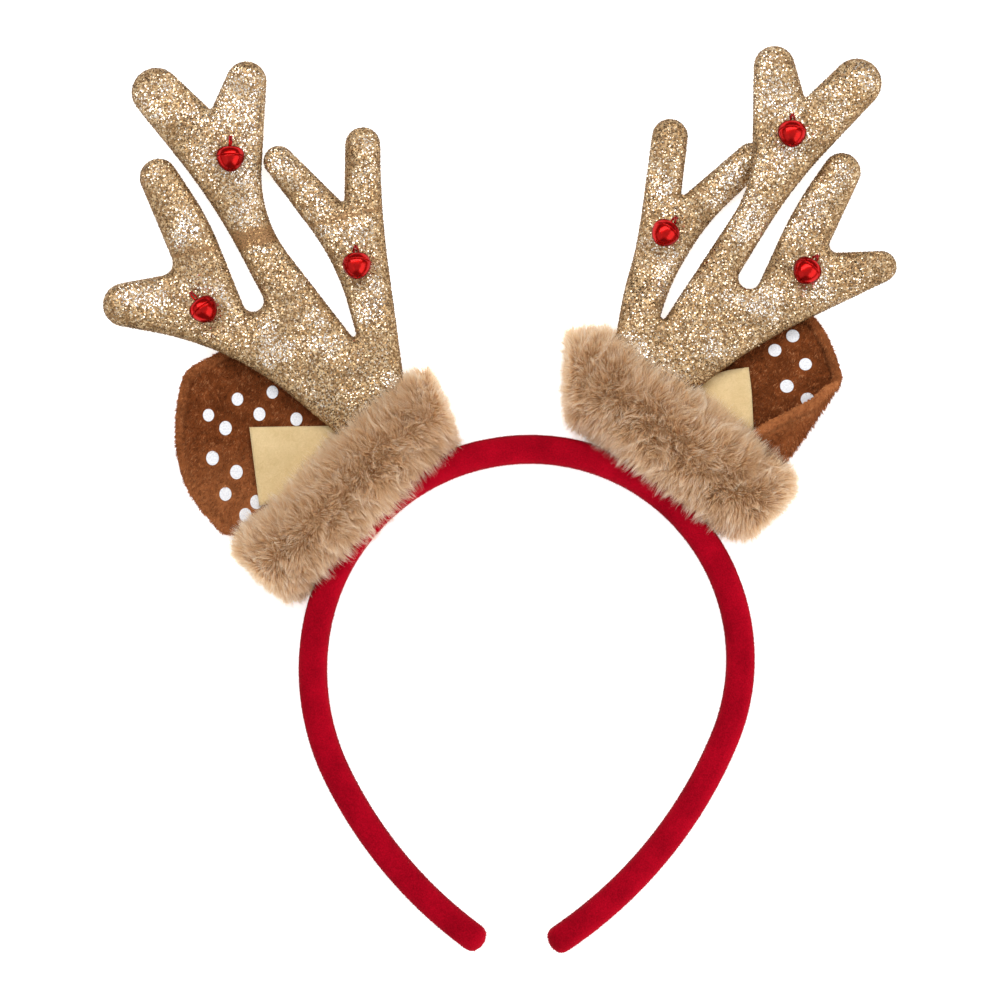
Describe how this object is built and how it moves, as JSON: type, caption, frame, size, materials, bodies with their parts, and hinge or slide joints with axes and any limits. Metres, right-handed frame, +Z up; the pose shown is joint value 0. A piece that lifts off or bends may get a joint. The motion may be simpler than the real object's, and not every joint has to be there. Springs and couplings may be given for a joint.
{
  "type": "reindeer antler headband",
  "caption": "Padded velvet head hoop with glitter antlers, plush ears with felt linings, fur cuffs and small bells, lying flat on its back.",
  "frame": {"origin": "middle of the plan, on the plane that the headband lies on", "axes": "+Z up from that plane to the front of the headband, +Y from the tips of the band to the tines, +X to the right antler"},
  "size_m": [0.2378, 0.2718, 0.0263],
  "materials": {
    "velvet": "short red velvet pile over padding",
    "glitter_cloth": "gold glitter cloth over padding",
    "pile_fur": "long tan pile fur",
    "plush": "short brown plush with white dots",
    "felt": "cream felt with cut edges",
    "bell_metal": "bright red lacquer on pressed metal"
  },
  "bodies": {
    "root": {"headband": "velvet", "antler_left": "glitter_cloth", "antler_right": "glitter_cloth", "fur_cuff_left": "pile_fur", "fur_cuff_right": "pile_fur", "ear_left": "plush", "ear_right": "plush", "ear_felt_left": "felt", "ear_felt_right": "felt", "bell_left_main": "bell_metal", "bell_left_inner": "bell_metal", "bell_left_outer": "bell_metal", "bell_right_main": "bell_metal", "bell_right_inner": "bell_metal", "bell_right_outer": "bell_metal"}
  },
  "joints": []
}
